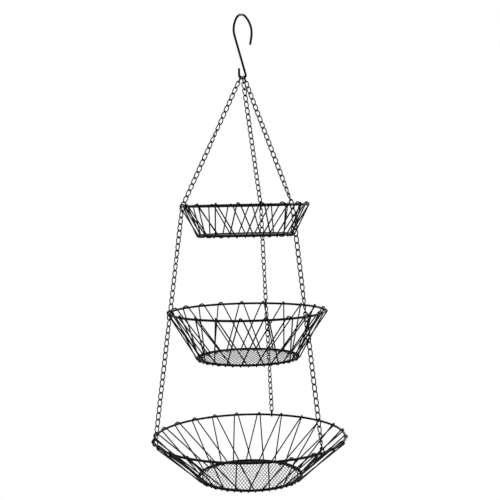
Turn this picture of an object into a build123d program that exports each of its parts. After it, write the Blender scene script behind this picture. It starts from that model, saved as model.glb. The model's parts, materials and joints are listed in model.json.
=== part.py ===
from build123d import *
import math
import os

# Three-tier hanging wire basket, in millimetres, +Z up. The origin is where a ceiling hook carries
# the inside of the S-hook's upper bend, and everything hangs below it. -Y is the front.

# Clearances
wire_gap = 0.16
hook_gap = 0.4
side_gap = 0.25
floor_gap = 0.8
floor_seat_gap = 0.05

# S-hook
hook_wire = 3.9
hook_crown_radius = 9.15
hook_back_radius = 40.8
hook_nose_radius = 42.7
hook_bend_radius = 5.6
hook_nose_straight = 11.5
hook_tip_straight = 10.5
hook_lean_angle = 14.95
hook_back_angle = 30
hook_nose_angle = 50
hook_nose_end_angle = 100

# Twisted chain links
link_wire = 1.9
link_length = 15.3
link_end_width = 5.2
link_middle_width = 7.0
link_end_radius = 2.4
link_side_radius = 9.0
link_twist_angle = 90
upper_links = 20
middle_links = 15
lower_links = 18

# Plain joining links: short ones on the S-hook and under the lowest rim, long ones round the other rims
joint_wire = 2.0
short_joint_length = 14.3
long_joint_length = 18.5
joint_width = 9.6
hook_spread_angle = 60

# Baskets
rim_wire = 4.0
ring_wire = 3.6
side_wire = 2.1
loop_half_width = 2.6
loop_rise = 3.4
loop_radius = 3.2
wire_tip_reach = 2.4
floor_tip_reach = 7.0
top_rim_radius = 107.5
top_ring_radius = 81.5
top_depth = 50.0
top_wires = 18
top_loop_angle = 15
top_leg_share = 0.75
middle_rim_radius = 134.0
middle_ring_radius = 87.0
middle_depth = 78.5
middle_wires = 21
middle_loop_angle = 47.7
middle_leg_share = 1.25
bottom_rim_radius = 165.0
bottom_ring_radius = 89.0
bottom_depth = 67.5
bottom_wires = 24
bottom_loop_angle = 9
bottom_leg_share = 0.75

# Floor nets
net_thickness = 1.0
net_bar = 1.3
net_pitch = 10.4
net_border = 1.6
net_angle = 45
net_edge_share = 0.2

# Chains: azimuth from +X, and the side of the hook's lower bend on which each hangs
front_azimuth = -90
chains = {"left": (195, -1), "rear": (75, 0), "right": (-45, 1)}
sectors = ("front", "right", "left")
face_blend_links = 5
oblique_angle = 12

# Slack twist of some chains: the most turned link, over how many links it fades, and its turn
chain_turns = {
    "left_upper": (8.0, 4.5, 70),
    "left_middle": (7.0, 7.0, -38),
    "rear_middle": (10.5, 3.5, 45),
    "rear_lower": (8.5, 8.5, 60),
}

os.makedirs("parts", exist_ok=True)


def level(azimuth):
    """Unit vector in the level plane at an azimuth in degrees."""
    return Vector(math.cos(math.radians(azimuth)), math.sin(math.radians(azimuth)), 0)


def polar_point(azimuth, radius, height, sideways=0.0):
    """Point at a radius and height over an azimuth, moved sideways round the axis."""
    return level(azimuth) * radius + level(azimuth + 90) * sideways + Vector(0, 0, height)


# S-hook: arcs and a leaning straight shank in the XZ plane, worked out from the crown down
lean = math.radians(hook_lean_angle)
back = math.radians(hook_back_angle)
back_drop = hook_crown_radius * (1 - math.sin(back)) + hook_back_radius * (math.sin(back) + math.sin(lean))
back_side = hook_crown_radius * math.cos(back) + hook_back_radius * (math.cos(lean) - math.cos(back))
shank_length = (hook_bend_radius * math.cos(lean) + back_side) / math.sin(lean)
crown_z = hook_wire / 2
bend_z = crown_z - back_drop - shank_length * math.cos(lean) - hook_bend_radius * math.sin(lean)

with BuildPart() as s_hook:
    with BuildLine(Plane.XZ) as hook_path:
        crown_back = JernArc((0, crown_z), (-1, 0), hook_crown_radius, 90 - hook_back_angle)
        back_arc = JernArc(crown_back @ 1, crown_back % 1, hook_back_radius, hook_back_angle + hook_lean_angle)
        shank = Line(back_arc @ 1, back_arc @ 1 + (back_arc % 1) * shank_length)
        bend = JernArc(shank @ 1, shank % 1, hook_bend_radius, -180 - hook_lean_angle)
        tip = Line(bend @ 1, bend @ 1 + (bend % 1) * hook_tip_straight)
    with BuildSketch(Plane(origin=hook_path.line @ 0, z_dir=hook_path.line % 0)):
        Circle(hook_wire / 2)
    sweep()
    with BuildLine(Plane.XZ) as nose_path:
        crown_nose = JernArc((0, crown_z), (1, 0), hook_crown_radius, -hook_nose_angle)
        nose_arc = JernArc(crown_nose @ 1, crown_nose % 1, hook_nose_radius,
                           hook_nose_angle - hook_nose_end_angle)
        nose_tip = Line(nose_arc @ 1, nose_arc @ 1 + (nose_arc % 1) * hook_nose_straight)
    with BuildSketch(Plane(origin=nose_path.line @ 0, z_dir=nose_path.line % 0)):
        Circle(hook_wire / 2)
    sweep()
    with Locations(hook_path.line @ 1, nose_path.line @ 1):
        Sphere(hook_wire / 2)
s_hook.part.label = "s_hook"
export_step(s_hook.part, "parts/s_hook.step")

# One twisted chain link, its long axis on Z: each end loop is turned from the middle by half the twist
link_half = (link_length - link_wire) / 2
link_pitch = 2 * link_half - link_wire - wire_gap
link_top = Vector(0, 0, link_half)
link_corner = link_top - level(link_twist_angle / 2) * (link_end_width / 2)
link_low_corner = -link_top - level(-link_twist_angle / 2) * (link_end_width / 2)

with BuildPart() as chain_link:
    with BuildLine() as link_path:
        FilletPolyline(link_top, link_corner, Vector(-link_middle_width / 2, 0, 0), link_low_corner, -link_top,
                       radius=[link_end_radius, link_side_radius, link_end_radius])
    with BuildSketch(Plane(origin=link_path.line @ 0, z_dir=link_path.line % 0)):
        Circle(link_wire / 2)
    sweep()
    add(chain_link.part.rotate(Axis.Z, 180), clean=False)

# Plain joining links, ovals in the XZ plane with their long axis on Z
joint_inner = joint_width / 2 - joint_wire
joint_bend = (joint_width - joint_wire) / 2
joint_hold = (joint_wire + link_wire) / 2 + wire_gap
short_half = (short_joint_length - joint_wire) / 2
long_half = (long_joint_length - joint_wire) / 2


def build_joining_link(half):
    """One joining link, made of two half ovals, with its end wires' middles half a length from the origin."""
    with BuildPart() as joining_link:
        with BuildLine(Plane.XZ) as joint_path:
            side = Line((-joint_bend, 0), (-joint_bend, joint_bend - half))
            low_arc = JernArc(side @ 1, side % 1, joint_bend, 180)
            Line(low_arc @ 1, (joint_bend, 0))
        with BuildSketch(Plane(origin=joint_path.line @ 0, z_dir=joint_path.line % 0)):
            Circle(joint_wire / 2)
        sweep()
        add(joining_link.part.rotate(Axis.Y, 180), clean=False)
    return joining_link.part


short_joining_link = build_joining_link(short_half)
long_joining_link = build_joining_link(long_half)


def link_place(centre, axis, facing):
    """Place of a link whose long axis points up an axis and whose flat side faces an azimuth."""
    return Plane(origin=centre, x_dir=level(facing).cross(axis), z_dir=axis).location


def nearest_face(angle):
    """The half turn of an angle that lies nearest the front, brought to where a link still hooks on."""
    turn = (angle - front_azimuth + 90) % 180 - 90
    return front_azimuth + math.copysign(max(abs(turn) - oblique_angle, 0), turn)


def chain_places(start, end, count, first_face, last_face, twist):
    """Places of the links of a taut chain between the middles of its two end wires."""
    axis = (start - end).normalized()
    step = ((start - end).length - 2 * link_half) / (count - 1)
    places = []
    for i in range(count):
        near_first = max(1 - i / face_blend_links, 0)
        near_last = max(1 - (count - 1 - i) / face_blend_links, 0)
        facing = front_azimuth + (first_face - front_azimuth) * near_first
        facing += (last_face - front_azimuth) * near_last
        facing += twist[2] * max(1 - abs(i - twist[0]) / twist[1], 0)
        places.append(link_place(start - axis * (link_half + i * step), axis, facing))
    return places


def chain_length(count):
    """Length between the middles of a chain's two end wires."""
    return 2 * link_half + (count - 1) * link_pitch


# Rim heights follow from the chains' lengths
joint_out = joint_inner - rim_wire / 2 - wire_gap
joint_arm = long_half - joint_hold
rest_rise = short_half - (joint_wire + rim_wire) / 2 - wire_gap
rest_arm = rest_rise + short_half - joint_hold
hook_reach = (hook_wire + joint_wire) / 2 + hook_gap
end_link_arm = 2 * short_half - joint_hold


def joint_offset(arm, tilt):
    """Sideways and upward reach of a joining link's arm at a tilt in degrees."""
    return arm * math.sin(math.radians(tilt)), arm * math.cos(math.radians(tilt))


upper_total = end_link_arm + chain_length(upper_links)
upper_tilt = math.degrees(math.asin(top_rim_radius / upper_total))
middle_tilt = math.degrees(math.asin((middle_rim_radius - top_rim_radius) / chain_length(middle_links)))
lower_tilt = math.degrees(math.asin((bottom_rim_radius - middle_rim_radius) / chain_length(lower_links)))
top_tilt = (upper_tilt + middle_tilt) / 2
mid_tilt = (middle_tilt + lower_tilt) / 2
low_tilt = lower_tilt


def drop(count_length, inner_radius, outer_radius):
    """Height that a taut chain of a length spans between two radii."""
    return math.sqrt(count_length ** 2 - (outer_radius - inner_radius) ** 2)


top_in, top_up = joint_offset(joint_arm, top_tilt)
mid_in, mid_up = joint_offset(joint_arm, mid_tilt)
low_in, low_up = joint_offset(rest_arm, low_tilt)
top_joint_radius = top_rim_radius + joint_out
middle_joint_radius = middle_rim_radius + joint_out
bottom_joint_radius = bottom_rim_radius
top_rim_z = bend_z - hook_bend_radius - drop(upper_total, 0, top_joint_radius - top_in) - top_up


def hook_seat(upper_end, side_sign):
    """Middle of a joining link's top wire where it hangs over the hook's lower bend."""
    angle = math.radians(side_sign * hook_spread_angle)
    bend_point = Vector(math.sin(angle), 0, -math.cos(angle)) * hook_bend_radius + Vector(0, 0, bend_z)
    tangent = Vector(math.cos(angle), 0, math.sin(angle))
    axis = bend_point - upper_end
    return bend_point + (axis - tangent * axis.dot(tangent)).normalized() * hook_reach


def upper_length(azimuth, side_sign):
    """Length from a chain's seat on the hook to the end of its upper section."""
    upper_end = polar_point(azimuth, top_joint_radius - top_in, top_rim_z + top_up)
    return (hook_seat(upper_end, side_sign) - upper_end).length


# The top rim is lifted until no chain is stretched
stretch = max(upper_length(*chain) for chain in chains.values()) - upper_total
top_rim_z += stretch / math.cos(math.radians(upper_tilt))
middle_rim_z = top_rim_z - top_up - mid_up - drop(
    chain_length(middle_links), top_joint_radius + top_in, middle_joint_radius - mid_in)
bottom_rim_z = middle_rim_z - mid_up - low_up - drop(
    chain_length(lower_links), middle_joint_radius + mid_in, bottom_joint_radius - low_in)


def save_group(name, pieces):
    """Write a node that holds separate solids."""
    node = Compound(label=name, children=pieces)
    export_step(node, "parts/" + name + ".step")


# Joining links on the hook's lower bend, and the chains
end_links = []
pivots = {}
for side_name, (azimuth, side_sign) in chains.items():
    upper_end = polar_point(azimuth, top_joint_radius - top_in, top_rim_z + top_up)
    seat = hook_seat(upper_end, side_sign)
    axis = (seat - upper_end).normalized()
    end_links.append(short_joining_link.moved(link_place(seat - axis * short_half, axis, 0)))
    upper_start = seat - axis * end_link_arm
    middle_start = polar_point(azimuth, top_joint_radius + top_in, top_rim_z - top_up)
    middle_end = polar_point(azimuth, middle_joint_radius - mid_in, middle_rim_z + mid_up)
    lower_start = polar_point(azimuth, middle_joint_radius + mid_in, middle_rim_z - mid_up)
    lower_end = polar_point(azimuth, bottom_joint_radius - low_in, bottom_rim_z + low_up)
    rim_first_face = nearest_face(azimuth - link_twist_angle / 2)
    rim_last_face = nearest_face(azimuth + link_twist_angle / 2)
    hook_first_face = nearest_face(front_azimuth - link_twist_angle / 2)
    sections = {
        "upper": (upper_start, upper_end, upper_links, hook_first_face, rim_last_face),
        "middle": (middle_start, middle_end, middle_links, rim_first_face, rim_last_face),
        "lower": (lower_start, lower_end, lower_links, rim_first_face, rim_last_face),
    }
    for section_name, section in sections.items():
        places = chain_places(*section, chain_turns.get(side_name + "_" + section_name, (0, 1, 0)))
        name = side_name + "_chain_" + section_name
        save_group(name, [chain_link.part.moved(place) for place in places])
        pivots[name] = (section[0], section[1])
save_group("hook_end_links", end_links)


def build_rim_joints(name, joining_link, radius, height, tilt, rise):
    """Three joining links round a rim, one for each chain, with their middles at a rise over the rim."""
    pieces = []
    for azimuth, side_sign in chains.values():
        axis = level(azimuth) * -math.sin(math.radians(tilt)) + Vector(0, 0, math.cos(math.radians(tilt)))
        centre = polar_point(azimuth, radius, height) + axis * rise
        pieces.append(joining_link.moved(link_place(centre, axis, azimuth + 90)))
    save_group(name + "_rim_joining_links", pieces)


def build_side_wires(name, rim_radius, ring_radius, rim_z, depth, count, loop_angle, leg_share):
    """Bent side wires: a loop over the rim, and two legs whose ends turn under the base ring."""
    slope = math.atan2(rim_radius - ring_radius, depth)
    rim_off = (rim_wire + side_wire) / 2 + side_gap
    ring_off = (ring_wire + side_wire) / 2 + side_gap
    ring_z = rim_z - depth
    shift = leg_share * 360 / count
    inner_corner = ring_radius - ring_off * math.cos(slope) - ring_off * (1 + math.sin(slope)) * math.tan(slope)
    outer_corner = ring_radius + ring_off * math.cos(slope) - ring_off * (1 - math.sin(slope)) * math.tan(slope)
    inner_radius = rim_radius - rim_off * math.cos(slope) + loop_rise * math.sin(slope)
    outer_radius = rim_radius + rim_off * math.cos(slope) + loop_rise * math.sin(slope)
    inner_z = rim_z + rim_off * math.sin(slope) + loop_rise * math.cos(slope)
    outer_z = rim_z - rim_off * math.sin(slope) + loop_rise * math.cos(slope)
    low_z = ring_z - ring_off
    wires = []
    for i in range(count):
        azimuth = front_azimuth + loop_angle + i * 360 / count
        inner_foot = polar_point(azimuth - shift, inner_corner, low_z)
        inner_top = polar_point(azimuth, inner_radius, inner_z, -loop_half_width)
        outer_top = polar_point(azimuth, outer_radius, outer_z, loop_half_width)
        outer_foot = polar_point(azimuth + shift, outer_corner, low_z)
        inner_turn = math.radians((inner_foot - inner_top).get_angle(level(azimuth - shift)))
        outer_turn = math.radians((outer_foot - outer_top).get_angle(level(azimuth + shift) * -1))
        inner_bend = ring_off * math.tan((math.pi / 2 + slope) / 2) / math.tan(inner_turn / 2)
        outer_bend = ring_off * math.tan((math.pi / 2 - slope) / 2) / math.tan(outer_turn / 2)
        with BuildPart() as wire:
            with BuildLine() as wire_path:
                FilletPolyline(
                    polar_point(azimuth - shift, ring_radius + wire_tip_reach, low_z),
                    inner_foot, inner_top, outer_top, outer_foot,
                    polar_point(azimuth + shift, ring_radius - floor_tip_reach, low_z),
                    radius=[inner_bend, loop_radius, loop_radius, outer_bend])
            with BuildSketch(Plane(origin=wire_path.line @ 0, z_dir=wire_path.line % 0)):
                Circle(side_wire / 2)
            sweep()
        wires.append(wire.part)
    third = count // len(sectors)
    for k, sector in enumerate(sectors):
        save_group(name + "_side_wires_" + sector, wires[k * third:(k + 1) * third])


def build_basket(name, rim_radius, ring_radius, rim_z, depth, count, loop_angle, leg_share):
    """One basket: rim, base ring, side wires and floor net."""
    ring_z = rim_z - depth
    ring_off = (ring_wire + side_wire) / 2 + side_gap
    with BuildPart() as rim:
        with Locations((0, 0, rim_z)):
            Torus(rim_radius, rim_wire / 2)
    rim.part.label = name + "_rim"
    export_step(rim.part, "parts/" + name + "_rim.step")

    with BuildPart() as base_ring:
        with Locations((0, 0, ring_z)):
            Torus(ring_radius, ring_wire / 2)
    base_ring.part.label = name + "_base_ring"
    export_step(base_ring.part, "parts/" + name + "_base_ring.step")

    build_side_wires(name, rim_radius, ring_radius, rim_z, depth, count, loop_angle, leg_share)

    net_radius = ring_radius - ring_off - side_wire / 2 - floor_gap
    net_z = ring_z - ring_off + side_wire / 2 + floor_seat_gap
    reach = net_radius - net_border
    half_count = math.ceil(net_radius / net_pitch) + 1
    cells = []
    for i in range(-half_count, half_count + 1):
        for j in range(-half_count, half_count + 1):
            if math.hypot(i, j) * net_pitch < reach + net_pitch * net_edge_share:
                cells.append((i * net_pitch, j * net_pitch))
    with BuildPart() as floor_net:
        with BuildSketch(Plane.XY.offset(net_z)):
            Circle(net_radius)
            with BuildSketch(Plane.XY.offset(net_z), mode=Mode.PRIVATE) as net_holes:
                with Locations(*cells):
                    Rectangle(net_pitch - net_bar, net_pitch - net_bar)
                Circle(reach, mode=Mode.INTERSECT)
            add(net_holes.sketch.rotate(Axis.Z, net_angle), mode=Mode.SUBTRACT)
        extrude(amount=net_thickness)
    floor_net.part.label = name + "_floor_net"
    export_step(floor_net.part, "parts/" + name + "_floor_net.step")
    return ring_z, net_z


baskets = {
    "top": (top_rim_radius, top_ring_radius, top_rim_z, top_depth, top_wires, top_loop_angle, top_leg_share),
    "middle": (middle_rim_radius, middle_ring_radius, middle_rim_z, middle_depth, middle_wires,
               middle_loop_angle, middle_leg_share),
    "bottom": (bottom_rim_radius, bottom_ring_radius, bottom_rim_z, bottom_depth, bottom_wires,
               bottom_loop_angle, bottom_leg_share),
}
build_rim_joints("top", long_joining_link, top_joint_radius, top_rim_z, top_tilt, 0)
build_rim_joints("middle", long_joining_link, middle_joint_radius, middle_rim_z, mid_tilt, 0)
build_rim_joints("bottom", short_joining_link, bottom_joint_radius, bottom_rim_z, low_tilt, rest_rise)
for basket_name, sizes in baskets.items():
    print(basket_name, "ring and net heights", build_basket(basket_name, *sizes))

print("lower bend centre z", round(bend_z, 3))
print("rim heights", round(top_rim_z, 3), round(middle_rim_z, 3), round(bottom_rim_z, 3))
for name, ends in pivots.items():
    print(name, [round(v, 3) for v in ends[0]], [round(v, 3) for v in ends[1]])
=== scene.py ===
"""Looks of a hanging fruit basket: three round wire baskets strung on chains below an S-hook.

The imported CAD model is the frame. Every wire is a round profile carried along its own centre line, so
links, hoops, bent side wires and woven floors are smooth closed surfaces, and every finish is procedural.
Lengths are in metres. -Y is the front, and the origin is inside the top of the S-hook's upper bend.
"""
import json
import math
from collections import namedtuple

import bpy
import numpy as np
from mathutils import Matrix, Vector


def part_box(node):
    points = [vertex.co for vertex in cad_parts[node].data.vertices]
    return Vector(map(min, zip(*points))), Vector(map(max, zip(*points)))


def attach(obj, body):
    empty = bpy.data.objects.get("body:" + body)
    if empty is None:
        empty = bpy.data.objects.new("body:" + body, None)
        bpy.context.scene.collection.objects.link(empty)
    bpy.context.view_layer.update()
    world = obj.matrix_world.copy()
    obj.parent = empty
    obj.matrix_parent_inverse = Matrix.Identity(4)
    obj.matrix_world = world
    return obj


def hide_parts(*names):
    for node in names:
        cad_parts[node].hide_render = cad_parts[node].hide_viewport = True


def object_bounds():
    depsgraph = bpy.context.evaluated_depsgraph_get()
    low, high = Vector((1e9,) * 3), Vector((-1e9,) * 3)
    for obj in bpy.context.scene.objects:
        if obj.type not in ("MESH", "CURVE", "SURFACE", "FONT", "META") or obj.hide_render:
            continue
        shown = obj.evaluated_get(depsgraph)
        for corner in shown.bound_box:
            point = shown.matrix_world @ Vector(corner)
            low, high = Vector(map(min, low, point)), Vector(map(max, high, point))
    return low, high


bl_info = {
    "name": "Hanging Wire Basket",
    "version": (1, 0, 0),
    "blender": (4, 5, 0),
    "location": "3D View > Sidebar > Basket",
    "description": "Wires, chains, woven floors and finishes of a hanging fruit basket",
    "category": "Object",
}

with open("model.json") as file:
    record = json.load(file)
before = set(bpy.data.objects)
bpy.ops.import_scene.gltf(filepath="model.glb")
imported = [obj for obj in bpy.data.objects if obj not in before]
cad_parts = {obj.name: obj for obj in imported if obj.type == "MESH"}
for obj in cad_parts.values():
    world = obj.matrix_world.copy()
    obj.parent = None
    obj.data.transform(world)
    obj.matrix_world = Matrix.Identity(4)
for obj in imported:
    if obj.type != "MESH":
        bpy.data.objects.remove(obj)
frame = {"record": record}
cad_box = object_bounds()
behaviour = frame["record"]["behaviour"]
joint_places = {joint["name"]: joint["pos_m"] for joint in behaviour["joints"]}

# Azimuth of the front, counted from +X. Angles are in degrees, apart from the tilts, which are worked out
FRONT = -90
UPWARDS = np.array([0.0, 0, 1])
REARWARDS = np.array([0.0, 1, 0])

# Clearances, and how far a welded foot sinks into its base ring
WIRE_GAP = 0.00016
HOOK_GAP = 0.0004
SNUG_GAP = 0.00002
WELD_SINK = 0.0007

# S-hook. Angles: the shank's lean, the back's slant where it leaves the crown, and how far the nose has
# turned from level where it leaves the crown and at its end. An arc has a few times a bend's steps
HOOK_WIRE = 0.0039
HOOK_CROWN_RADIUS = 0.00915
HOOK_BACK_RADIUS = 0.0408
HOOK_NOSE_RADIUS = 0.0427
HOOK_BEND_RADIUS = 0.0056
HOOK_NOSE_STRAIGHT = 0.0115
HOOK_TIP_STRAIGHT = 0.0105
HOOK_LEAN = 14.95
HOOK_BACK = 30
HOOK_NOSE = 50
HOOK_NOSE_END = 100
HOOK_BEND_Z = joint_places["hook_swing"][2]
HOOK_ARC_STEPS = 3

# Twisted chain links. The pitch of a taut chain is the way between a link's end wires less a wire and a
# gap. A chain turns to face the front over a few links, and its end links hook on at a slant
LINK_WIRE = 0.0019
LINK_HALF = 0.0067
LINK_END_WIDTH = 0.0052
LINK_MIDDLE_WIDTH = 0.007
LINK_END_RADIUS = 0.0024
LINK_SIDE_RADIUS = 0.009
LINK_TWIST = 90
LINK_PITCH = 2 * LINK_HALF - LINK_WIRE - WIRE_GAP
FACE_BLEND_LINKS = 5
HOOK_ON_SLANT = 12

# Chains: azimuth, and the side of the S-hook's lower bend on which each hangs, spread round the bend. Each
# has three sections
CHAINS = {"left": (195, -1), "rear": (75, 0), "right": (-45, 1)}
AZIMUTHS = [azimuth for azimuth, bend_side in CHAINS.values()]
HOOK_SPREAD = 60
SECTION_LINKS = {"upper": 20, "middle": 15, "lower": 18}

# Slack twist of some chains: the most turned link, over how many links it fades, and its turn
CHAIN_TURNS = {
    "left_chain_upper": (8, 4.5, 70),
    "left_chain_middle": (7, 7, -38),
    "rear_chain_middle": (10.5, 3.5, 45),
    "rear_chain_lower": (8.5, 8.5, 60),
}

# Baskets. The first loop is counted from the front, and a leg spreads by the leg share of the wires' pitch
Basket = namedtuple("Basket", "rim_radius ring_radius depth wires first_loop leg_share")
BASKETS = {
    "top": Basket(0.1075, 0.0815, 0.05, 18, 15, 0.75),
    "middle": Basket(0.134, 0.087, 0.0785, 21, 47.7, 1.25),
    "bottom": Basket(0.165, 0.089, 0.0675, 24, 9, 0.75),
}
rim_heights = {name: sum(corner[2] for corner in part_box(name + "_rim")) / 2 for name in BASKETS}
SECTORS = ("front", "right", "left")
RIM_WIRE = 0.004
RING_WIRE = 0.0042
SIDE_WIRE = 0.0023
LOOP_HALF_WIDTH = 0.0026
LOOP_RISE = 0.0034
LOOP_RADIUS = 0.0032
WIRE_TIP_REACH = 0.0007
FLOOR_TIP_REACH = 0.007

# Plain joining links: short ones on the S-hook and at the lowest rim, long ones round the other rims
JOINT_WIRE = 0.002
JOINT_BEND = 0.0038
SHORT_HALF = 0.00615
LONG_HALF = 0.00825
JOINT_HOLD = (JOINT_WIRE + LINK_WIRE) / 2 + WIRE_GAP
JOINT_OUT = JOINT_BEND - (JOINT_WIRE + RIM_WIRE) / 2 - WIRE_GAP
REST_RISE = SHORT_HALF - (JOINT_WIRE + RIM_WIRE) / 2 - WIRE_GAP
HOOK_REACH = (HOOK_WIRE + JOINT_WIRE) / 2 + HOOK_GAP
END_LINK_ARM = 2 * SHORT_HALF - JOINT_HOLD

# Hoops: azimuths of their butt welds, and how much thicker the wire is there
RIM_WELD = 118
RING_WELD = 52
BEAD_SHARE = 0.12

# Wires: angles of the rings that close an end, thickness in a link's seam, flatness of cut ends, the share
# of U kept free at a wire's ends, and how near two points are one
END_RING_ANGLES = (5, 25, 48, 70)
SEAM_SHARE = 0.84
CUT_END_SHARE = 0.35
NET_END_SHARE = 0.3
U_MARGIN = 0.001
SAME_POINT = 1e-7

# Woven floors: hem radius and height of the weave's middle over the feet, in diameters of a floor wire,
# faces round a floor wire and the hem, and steps along a floor wire for each wire of its set
HEM_SHARE = 0.9
WEAVE_SHARE = 1.15
NET_SIDES = 6
HEM_SIDES = 8
NET_STEPS = 4

# Coat: specular level, shares of the colour between which its tone drifts, fineness and range of the noise
# that it drifts with, how far each noise changes the roughness, and the height of the grain
COAT_SPECULAR = 0.05
TONE_SHARES = (0.75, 1.35)
DRIFT_FINENESS = 38
DRIFT_RANGE = (0.3, 0.7)
DRIFT_ROUGHNESS = 0.5
GRAIN_ROUGHNESS = 0.1
GRAIN_HEIGHT = 0.0002
MESH_EXTRA_ROUGHNESS = 0.06
NOISE_MEAN = 0.5

# Rubbed steel: how far it reaches from the nearest rubbed point, where its frayed edge lies in shares of
# that reach, and what a turn away from the inside of a link's wire counts for
HOOK_RUB_REACH = 0.0045
RIM_RUB_REACH = 0.0035
LINK_RUB_SHARE = 0.085
RUB_EDGE = (0.55, 1.0)
RUB_FINENESS = 900
TURN_SHARE = 0.35

# Stage: the floor's size, where it fades to white, and each lamp's place, size and power setting
FLOOR_RADIUS = 3.0
FLOOR_CORNERS = 96
FLOOR_ROUGHNESS = 0.9
FLOOR_FADE = (0.2, 0.6)
LAMPS = {
    "key": ((-0.9, -1.3, 0.4), 0.7, "key_power"),
    "fill": ((1.3, -0.8, -0.3), 0.9, "fill_power"),
    "back": ((0.3, 1.4, 0.1), 0.9, "fill_power"),
}
SENSOR_WIDTH = 36


def chain_length(section):
    """Length between the middles of a chain section's two end wires: a link and a pitch for each more."""
    return 2 * LINK_HALF + (SECTION_LINKS[section] - 1) * LINK_PITCH


def chain_tilt(inner, outer, length):
    """How far a taut chain leans out, in radians: its sine is the step between two radii over its length."""
    return math.asin((outer - inner) / length)


TOP_RADIUS, MIDDLE_RADIUS, BOTTOM_RADIUS = (basket.rim_radius for basket in BASKETS.values())
UPPER_TILT = chain_tilt(0, TOP_RADIUS, END_LINK_ARM + chain_length("upper"))
MIDDLE_TILT = chain_tilt(TOP_RADIUS, MIDDLE_RADIUS, chain_length("middle"))
LOWER_TILT = chain_tilt(MIDDLE_RADIUS, BOTTOM_RADIUS, chain_length("lower"))

# Joining links at each rim: half length, reach beyond the rim's radius, rise over it, lean inwards
RimJoint = namedtuple("RimJoint", "half out rise lean")
RIM_JOINTS = {
    "top": RimJoint(LONG_HALF, JOINT_OUT, 0, (UPPER_TILT + MIDDLE_TILT) / 2),
    "middle": RimJoint(LONG_HALF, JOINT_OUT, 0, (MIDDLE_TILT + LOWER_TILT) / 2),
    "bottom": RimJoint(SHORT_HALF, 0, REST_RISE, LOWER_TILT),
}


class BasketShape(bpy.types.PropertyGroup):
    """How finely the wires are made, and the sizes of seams, welds and woven floors."""

    link_sides: bpy.props.IntProperty(
        name="Link sides", description="Faces round a chain link's wire", default=12, min=6, max=32)
    hook_sides: bpy.props.IntProperty(
        name="Hook sides", description="Faces round the S-hook's wire", default=20, min=6, max=48, step=2)
    joint_sides: bpy.props.IntProperty(
        name="Joining link sides", description="Faces round a joining link's wire", default=14, min=6, max=32)
    hoop_sides: bpy.props.IntProperty(
        name="Hoop sides", description="Faces round a rim's or a base ring's wire", default=16, min=6, max=48)
    wire_sides: bpy.props.IntProperty(
        name="Side wire sides", description="Faces round a side wire, an even count", default=12, min=6,
        max=48, step=2)
    arc_steps: bpy.props.IntProperty(
        name="Bend steps", description="Faces along one bend of a wire", default=8, min=3, max=24)
    hoop_steps: bpy.props.IntProperty(
        name="Hoop steps", description="Faces along a rim or a base ring", default=360, min=64, max=720)
    seam_width: bpy.props.FloatProperty(
        name="Seam width", description="Width of the cut where a link's wire ends meet", default=0.00022,
        min=0.00005, max=0.001, unit="LENGTH", subtype="DISTANCE", precision=5)
    bead_width: bpy.props.FloatProperty(
        name="Bead width", description="Half width of the butt weld on a hoop", default=0.0022, min=0.0005,
        max=0.006, unit="LENGTH", subtype="DISTANCE", precision=4)
    net_pitch: bpy.props.FloatProperty(
        name="Mesh pitch", description="Distance between neighbouring floor wires", default=0.0055, min=0.003,
        max=0.02, unit="LENGTH", subtype="DISTANCE", precision=4)
    net_wire: bpy.props.FloatProperty(
        name="Mesh wire", description="Diameter of a floor wire", default=0.00095, min=0.0003, max=0.002,
        unit="LENGTH", subtype="DISTANCE", precision=4)
    net_angle: bpy.props.FloatProperty(
        name="Mesh angle",
        description="Turn of the two sets of floor wires to either side of the object's right",
        default=math.radians(76), subtype="ANGLE")


class BasketFinish(bpy.types.PropertyGroup):
    """Colours and surface of the coat, the chain and the mesh."""

    coat_colour: bpy.props.FloatVectorProperty(
        name="Coat colour", description="Black coat on the basket wires", size=3, subtype="COLOR",
        default=(0.0012, 0.0012, 0.0013), min=0, max=1)
    chain_colour: bpy.props.FloatVectorProperty(
        name="Chain colour", description="Black finish of the chain", size=3, subtype="COLOR",
        default=(0.0014, 0.0014, 0.0015), min=0, max=1)
    mesh_colour: bpy.props.FloatVectorProperty(
        name="Mesh colour", description="Dark coat on the fine floor wires", size=3, subtype="COLOR",
        default=(0.004, 0.004, 0.0043), min=0, max=1)
    rub_colour: bpy.props.FloatVectorProperty(
        name="Rubbed steel", description="Steel that shows where a link or hook rubs", size=3,
        subtype="COLOR", default=(0.16, 0.155, 0.15), min=0, max=1)
    coat_roughness: bpy.props.FloatProperty(
        name="Coat roughness", description="Mean roughness of the coat", default=0.34, min=0, max=1,
        subtype="FACTOR")
    grain_size: bpy.props.FloatProperty(
        name="Grain size", description="Size of the coat's pebbled grain", default=0.0007, min=0.0001,
        max=0.005, unit="LENGTH", subtype="DISTANCE", precision=5)
    grain_depth: bpy.props.FloatProperty(
        name="Grain depth", description="How strongly the grain shows", default=0.22, min=0, max=1,
        subtype="FACTOR")


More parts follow.
